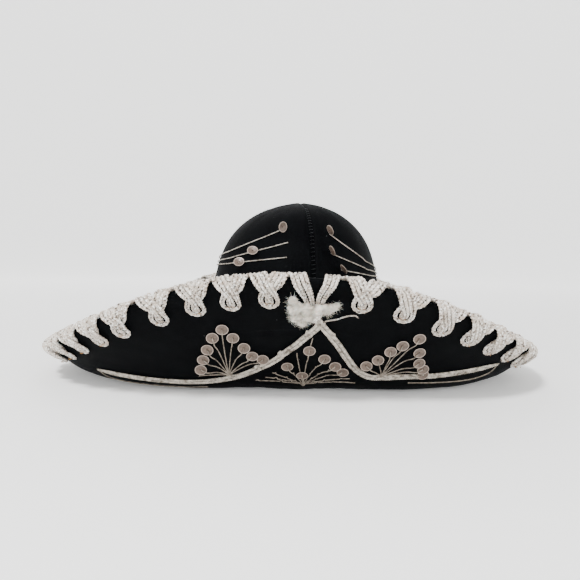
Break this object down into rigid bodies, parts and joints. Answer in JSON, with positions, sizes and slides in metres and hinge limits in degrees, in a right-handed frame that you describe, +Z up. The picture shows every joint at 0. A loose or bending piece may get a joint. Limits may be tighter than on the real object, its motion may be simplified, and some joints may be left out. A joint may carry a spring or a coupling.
{
  "type": "sombrero",
  "caption": "Low-crowned black velvet sombrero with a brim turned up at front and back, looped white edge braid, scroll braid and sequin sprays.",
  "frame": {"origin": "middle of the brim's outline, on the surface that the hat rests on", "axes": "+Z up through the crown; the front, with the braid's knot, faces -Y; +X is to the right of someone looking at the front, along the brim's long low sides"},
  "size_m": [0.4032, 0.3424, 0.1426],
  "materials": {
    "black_velvet": "deep pile velvet, matt with a faint cool sheen at grazing angles",
    "grey_board": "pressed grey board, matt",
    "steel_wire": "drawn steel wire, satin",
    "buckram": "stiffened open weave, matt",
    "satin_lining": "woven satin, soft sheen",
    "sweatband_ribbon": "ribbed ribbon, low sheen",
    "white_braid": "plaited warm white yarn with silver threads, soft sheen and fine sparkle",
    "silver_thread": "metallised silver thread, bright and slightly worn",
    "sequin_film": "thin glossy film, pinkish silver",
    "frayed_cotton": "loose fluffy fibre, matt"
  },
  "bodies": {
    "root": {"braid_knot": "white_braid", "brim_board": "grey_board", "brim_edge_wire": "steel_wire", "brim_velvet_under": "black_velvet", "brim_velvet_upper": "black_velvet", "crown_lining": "satin_lining", "crown_shell": "buckram", "crown_spray_threads_left": "silver_thread", "crown_spray_threads_right": "silver_thread", "crown_velvet_panel_1": "black_velvet", "crown_velvet_panel_2": "black_velvet", "crown_velvet_panel_3": "black_velvet", "crown_velvet_panel_4": "black_velvet", "edge_braid": "white_braid", "frayed_end_left": "frayed_cotton", "frayed_end_right": "frayed_cotton", "knot_leg_left": "white_braid", "knot_leg_right": "white_braid", "leaf_thread_back_left": "silver_thread", "leaf_thread_back_right": "silver_thread", "leaf_thread_front_left": "silver_thread", "leaf_thread_front_right": "silver_thread", "loose_thread": "white_braid", "scroll_braid_back_left": "silver_thread", "scroll_braid_back_right": "silver_thread", "scroll_braid_front_left": "silver_thread", "scroll_braid_front_right": "silver_thread", "sequin_centre_1": "sequin_film", "sequin_centre_2": "sequin_film", "sequin_centre_3": "sequin_film", "sequin_centre_4": "sequin_film", "sequin_centre_5": "sequin_film", "sequin_centre_6": "sequin_film", "sequin_left_1": "sequin_film", "sequin_left_2": "sequin_film", "sequin_left_3": "sequin_film", "sequin_left_4": "sequin_film", "sequin_left_5": "sequin_film", "sequin_left_6": "sequin_film", "sequin_left_7": "sequin_film", "sequin_left_8": "sequin_film", "sequin_left_9": "sequin_film", "sequin_right_1": "sequin_film", "sequin_right_2": "sequin_film", "sequin_right_3": "sequin_film", "sequin_right_4": "sequin_film", "sequin_right_5": "sequin_film", "sequin_right_6": "sequin_film", "sequin_right_7": "sequin_film", "sequin_right_8": "sequin_film", "sequin_right_9": "sequin_film", "spray_threads_back_centre": "silver_thread", "spray_threads_back_left": "silver_thread", "spray_threads_back_right": "silver_thread", "spray_threads_front_centre": "silver_thread", "spray_threads_front_left": "silver_thread", "spray_threads_front_right": "silver_thread", "sweatband": "sweatband_ribbon"}
  },
  "joints": []
}
